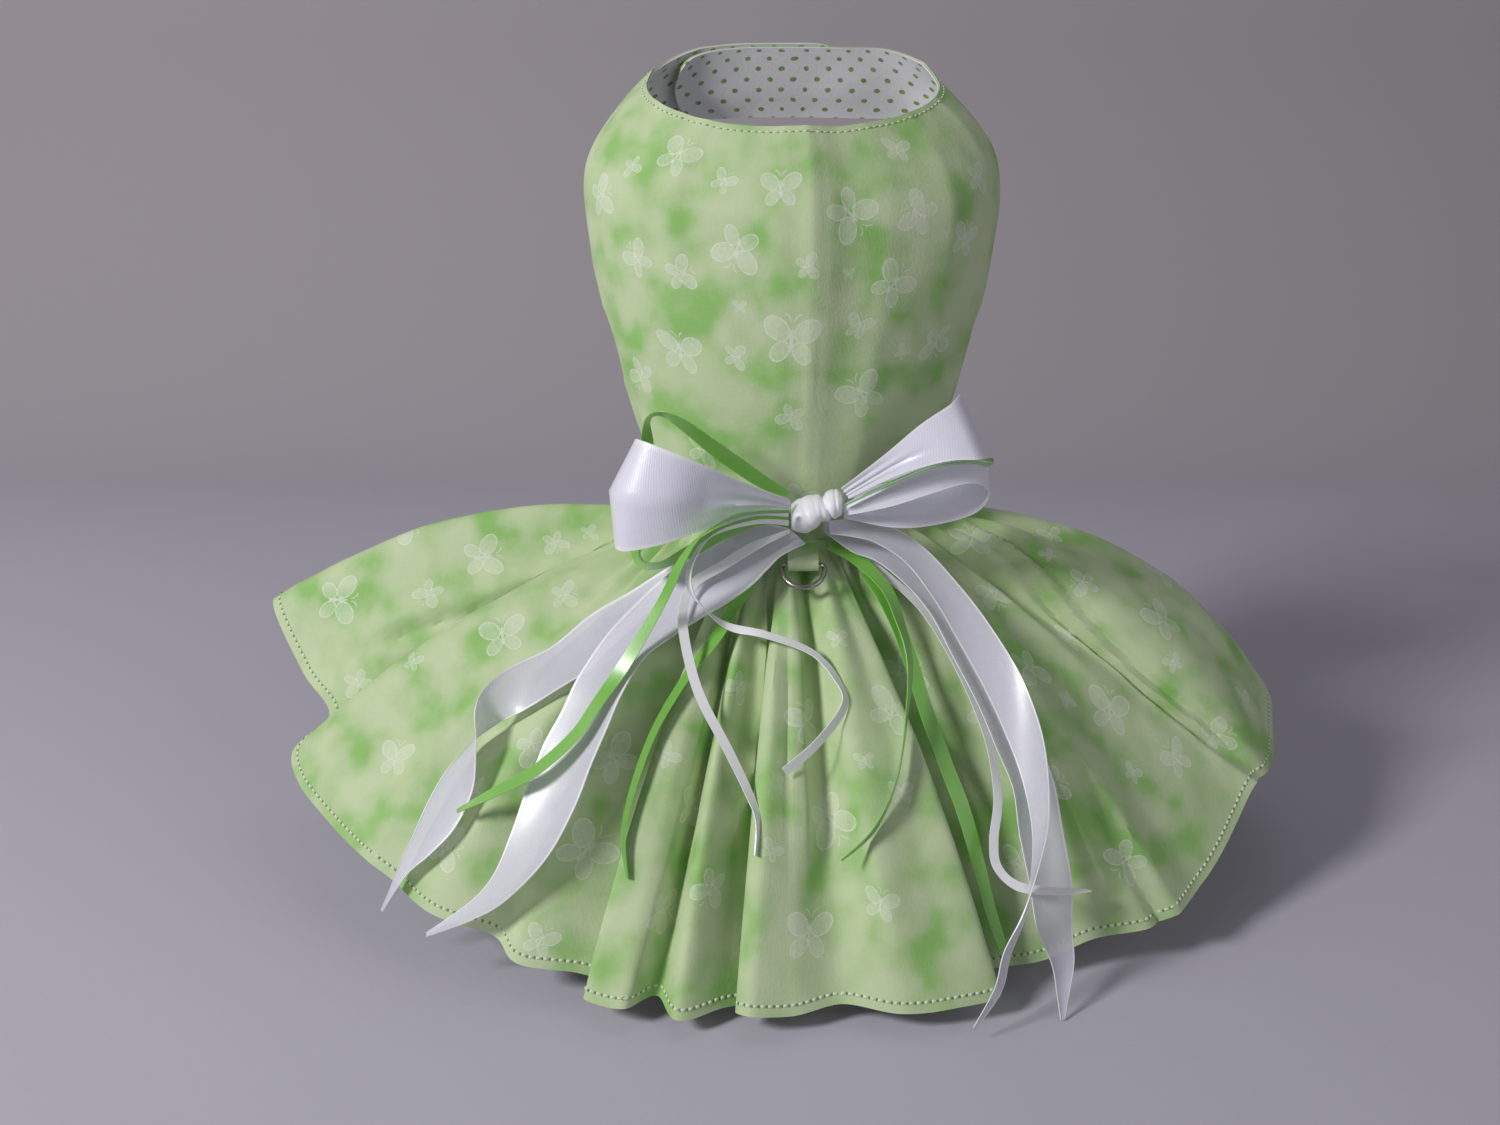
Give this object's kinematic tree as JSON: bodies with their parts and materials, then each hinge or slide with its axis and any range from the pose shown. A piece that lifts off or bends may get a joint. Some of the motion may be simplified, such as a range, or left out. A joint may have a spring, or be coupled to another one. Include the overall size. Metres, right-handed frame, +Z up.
{
  "type": "dog dress",
  "caption": "Sleeveless harness dress for a small dog: lined bodice with wrap straps, gathered skirt, satin bow with ribbon tails, and a swinging leash ring on a fabric tab.",
  "frame": {"origin": "centre of the neck opening, at its rim, where the wearer's neck holds the dress up", "axes": "+Z up out of the neck opening; the side with the bow and ring, which is worn along the back, faces -Y; +X is to the right in the picture"},
  "size_m": [0.3786, 0.2332, 0.2902],
  "materials": {
    "printed_cotton": "mottled green cotton print",
    "dotted_cotton": "white cotton with green pin dots",
    "white_satin": "white satin ribbon",
    "green_satin": "green satin ribbon",
    "ring_metal": "bright nickel-coloured wire"
  },
  "bodies": {
    "dress": {"bodice_outer": "printed_cotton", "skirt": "printed_cotton", "dring_tab": "printed_cotton", "bodice_lining": "dotted_cotton", "bow_knot": "white_satin", "bow_loop_left": "white_satin", "bow_loop_right_upper": "white_satin", "bow_loop_right_lower": "white_satin", "tail_left_front": "white_satin", "tail_left_back": "white_satin", "tail_right_front": "white_satin", "tail_right_back": "white_satin", "white_curl": "white_satin", "white_straight": "white_satin", "white_under": "white_satin", "green_loop_left": "green_satin", "green_loop_right": "green_satin", "green_tail_1": "green_satin", "green_tail_2": "green_satin", "green_tail_3": "green_satin", "green_tail_4": "green_satin"},
    "ring": {"d_ring": "ring_metal"}
  },
  "joints": [
    {"name": "d_ring_swing", "type": "hinge", "parent": "dress", "child": "ring", "pos_m": [0.0032, -0.057, -0.1524], "axis": [-1, 0, 0], "range_deg": [0, 75]}
  ]
}
